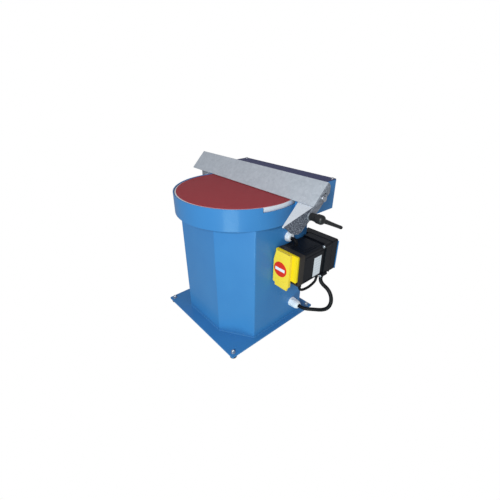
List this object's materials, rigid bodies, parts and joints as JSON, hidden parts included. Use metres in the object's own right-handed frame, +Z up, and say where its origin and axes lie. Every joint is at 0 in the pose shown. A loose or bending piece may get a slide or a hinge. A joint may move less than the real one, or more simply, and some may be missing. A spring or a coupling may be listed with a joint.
{
  "type": "disc sander",
  "caption": "Bench disc sander with a flat horizontal disc on a steel column, a tilting fence across it, a dust hood behind and a switch box on the side.",
  "frame": {"origin": "the disc's axis at floor level, on the plane that the four feet stand on", "axes": "+Z up along the disc's axis, +Y away from the operator towards the dust outlet, +X to the operator's right"},
  "size_m": [0.5876, 0.4275, 0.4775],
  "materials": {
    "blue_paint": "glossy",
    "galvanised": "spangled zinc",
    "zinc_hardware": "bright zinc",
    "machined_aluminium": "turned",
    "abrasive": "coated abrasive grit",
    "motor_grey": "satin",
    "bright_steel": "machined",
    "copper": "varnished winding",
    "black_rubber": "matt",
    "black_plastic": "moulded",
    "yellow_plastic": "moulded",
    "red_plastic": "moulded",
    "green_plastic": "moulded",
    "white_plastic": "moulded",
    "label": "printed film"
  },
  "bodies": {
    "machine": {"base_plate": "blue_paint", "column": "blue_paint", "drum": "blue_paint", "dust_hood": "blue_paint", "hood_lid": "blue_paint", "dust_spigot": "blue_paint", "switch_bracket": "blue_paint", "arm_right": "galvanised", "arm_left": "galvanised", "foot_bolts": "zinc_hardware", "foot_cap_nuts": "zinc_hardware", "arm_bolts": "zinc_hardware", "lid_screws": "zinc_hardware", "pivot_stud": "zinc_hardware", "pivot_nuts": "zinc_hardware", "pivot_bolt_left": "zinc_hardware", "box_screws": "zinc_hardware", "motor_bolts": "zinc_hardware", "flap_pin": "zinc_hardware", "motor_drive_shield": "motor_grey", "motor_frame": "motor_grey", "motor_fan_shield": "motor_grey", "terminal_box": "motor_grey", "terminal_lid": "motor_grey", "stator_core": "bright_steel", "motor_bearings": "bright_steel", "stator_windings": "copper", "rubber_feet": "black_rubber", "motor_lead": "black_rubber", "link_lead": "black_rubber", "upper_elbow": "black_rubber", "switch_box": "black_plastic", "switch_collar": "black_plastic", "box_glands": "black_plastic", "contact_block": "black_plastic", "fan_cover": "black_plastic", "switch_frame": "yellow_plastic", "lower_gland": "white_plastic", "upper_gland": "white_plastic", "gland_lock_nuts": "white_plastic", "rating_label": "label"},
    "spindle": {"rotor_shaft": "bright_steel", "rotor_core": "bright_steel", "cooling_fan": "black_plastic", "shaft_key": "zinc_hardware", "disc_hub": "machined_aluminium", "retaining_screw": "zinc_hardware", "backing_disc": "machined_aluminium", "disc_screws": "zinc_hardware", "abrasive_disc": "abrasive"},
    "tilt_cheeks": {"cheek_right": "galvanised", "cheek_left": "galvanised"},
    "fence": {"fence_plate": "galvanised", "fence_lugs": "galvanised", "fence_bolts": "zinc_hardware"},
    "clamp_lever": {"clamp_lever": "black_plastic"},
    "switch_flap": {"switch_flap": "yellow_plastic", "stop_disc": "red_plastic"},
    "start_button": {"start_button": "green_plastic"},
    "stop_button": {"stop_button": "red_plastic"}
  },
  "joints": [
    {"name": "disc_spin", "type": "hinge", "parent": "machine", "child": "spindle", "pos_m": [0, 0, 0.4], "axis": [0, 0, 1], "continuous": true},
    {"name": "fence_tilt", "type": "hinge", "parent": "machine", "child": "tilt_cheeks", "pos_m": [0, 0.02, 0.407], "axis": [1, 0, 0], "range_deg": [0, 45]},
    {"name": "fence_lift", "type": "slide", "parent": "tilt_cheeks", "child": "fence", "axis": [0, 0.7071, 0.7071], "range_m": [0, 0.012]},
    {"name": "lever_turn", "type": "hinge", "parent": "machine", "child": "clamp_lever", "pos_m": [0.27, 0.02, 0.407], "axis": [1, 0, 0], "range_deg": [-20, 70]},
    {"name": "flap_swing", "type": "hinge", "parent": "machine", "child": "switch_flap", "pos_m": [0.195, -0.0085, 0.295], "axis": [-1, 0, 0], "range_deg": [0, 90]},
    {"name": "start_press", "type": "slide", "parent": "machine", "child": "start_button", "axis": [0, 1, 0], "range_m": [0, 0.003], "stiffness_N_per_m": 400},
    {"name": "stop_press", "type": "slide", "parent": "machine", "child": "stop_button", "axis": [0, 1, 0], "range_m": [0, 0.003], "stiffness_N_per_m": 400}
  ]
}
